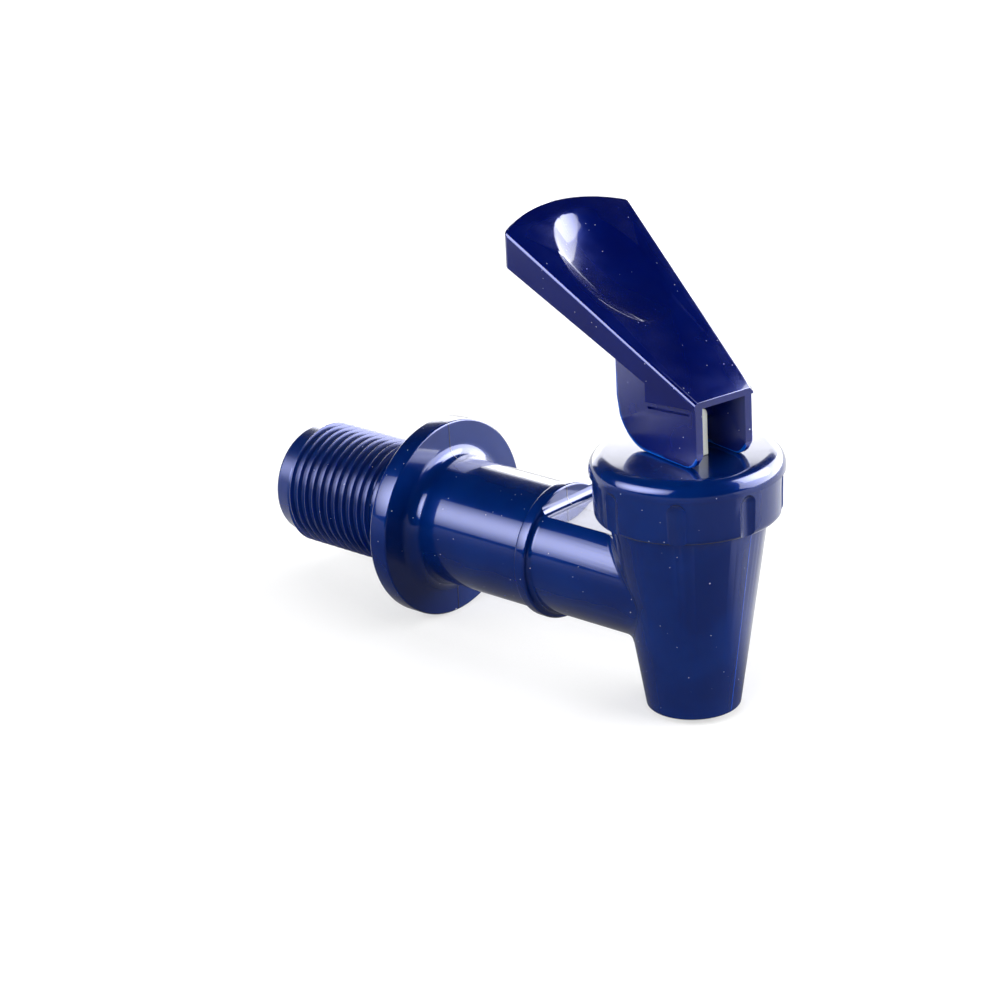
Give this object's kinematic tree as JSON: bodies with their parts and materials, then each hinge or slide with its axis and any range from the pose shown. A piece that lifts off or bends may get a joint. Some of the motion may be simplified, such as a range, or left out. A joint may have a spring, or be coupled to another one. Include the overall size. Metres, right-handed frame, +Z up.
{
  "type": "water jug dispenser valve",
  "caption": "Push-lever tap for a water jug: threaded shank with flange, barrel and arm, hanging tapered spout, screw cap and a sloping thumb lever that lifts the valve stem.",
  "frame": {"origin": "centre of the flange's rear face, on the shank's axis", "axes": "+X along the shank's axis from the flange to the spout, -X is the way into the jug's wall, +Z up, so the spout's axis runs down at x = 46.8 mm and its mouth points to -Z"},
  "size_m": [0.0853, 0.0298, 0.0664],
  "materials": {
    "body_plastic": "moulded, glossy navy",
    "cap_plastic": "moulded, glossy navy",
    "lever_plastic": "moulded, glossy navy, slightly translucent at thin edges",
    "stem_plastic": "moulded, milky",
    "silicone": "moulded, soft, milky",
    "spring_steel": "bright drawn wire"
  },
  "bodies": {
    "housing": {"faucet_body": "body_plastic", "bonnet_cap": "cap_plastic", "seat_cup": "silicone"},
    "swivel": {"return_spring": "spring_steel"},
    "stem": {"valve_stem": "stem_plastic"},
    "lever": {"lever_handle": "lever_plastic"}
  },
  "joints": [
    {"name": "lever_swivel", "type": "hinge", "parent": "housing", "child": "swivel", "pos_m": [0.0468, 0, 0.0198], "axis": [0, 0, 1], "continuous": true},
    {"name": "stem_lift", "type": "slide", "parent": "swivel", "child": "stem", "axis": [0, 0, 1], "range_m": [0, 0.00246], "deforming": ["return_spring", "seat_cup"]},
    {"name": "lever_tilt", "type": "hinge", "parent": "stem", "child": "lever", "pos_m": [0.0468, 0, 0.0246], "axis": [-0.2028, -0.9792, 0], "range_deg": [0, 50], "stiffness_Nm_per_rad": 0.00894, "springref_deg": -171.89}
  ],
  "couplings": [
    {"joint": "stem_lift", "follows": "lever_tilt", "m_per_rad": 0.0028}
  ]
}
